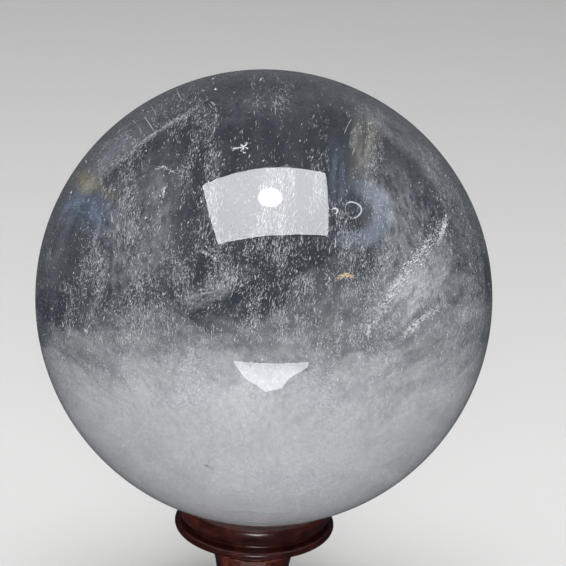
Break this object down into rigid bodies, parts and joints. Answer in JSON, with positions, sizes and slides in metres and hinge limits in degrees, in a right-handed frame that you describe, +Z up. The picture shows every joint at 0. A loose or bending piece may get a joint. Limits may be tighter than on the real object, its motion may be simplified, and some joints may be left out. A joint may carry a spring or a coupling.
{
  "type": "crystal ball on stand",
  "caption": "Polished clear and milky rock crystal ball resting in the felt-lined dish of a small turned, lacquered wooden pedestal.",
  "frame": {"origin": "middle of the pedestal's footprint, on the surface that the pads stand on", "axes": "+Z up along the axis that the pedestal is turned about, through the ball's centre; -Y is the front"},
  "size_m": [0.1, 0.1, 0.134],
  "materials": {
    "crystal": "polished, clear above with a milky cloud, veils and fine inclusions below",
    "lacquered_wood": "dark red-brown stain under thick glossy lacquer",
    "seat_felt": "thin dark red-brown wool felt",
    "pad_felt": "black wool felt",
    "steel": "zinc-plated, satin"
  },
  "bodies": {
    "pedestal": {"seat_cup": "lacquered_wood", "seat_felt_ring": "seat_felt", "cup_washer": "steel", "cup_screw": "steel", "neck_spindle": "lacquered_wood", "foot": "lacquered_wood", "foot_pad_1": "pad_felt", "foot_pad_2": "pad_felt", "foot_pad_3": "pad_felt", "foot_pad_4": "pad_felt"},
    "ball": {"crystal_ball": "crystal"}
  },
  "joints": [
    {"name": "ball_lift", "type": "slide", "parent": "pedestal", "child": "ball", "axis": [0, 0, 1], "range_m": [0, 0.08]}
  ]
}
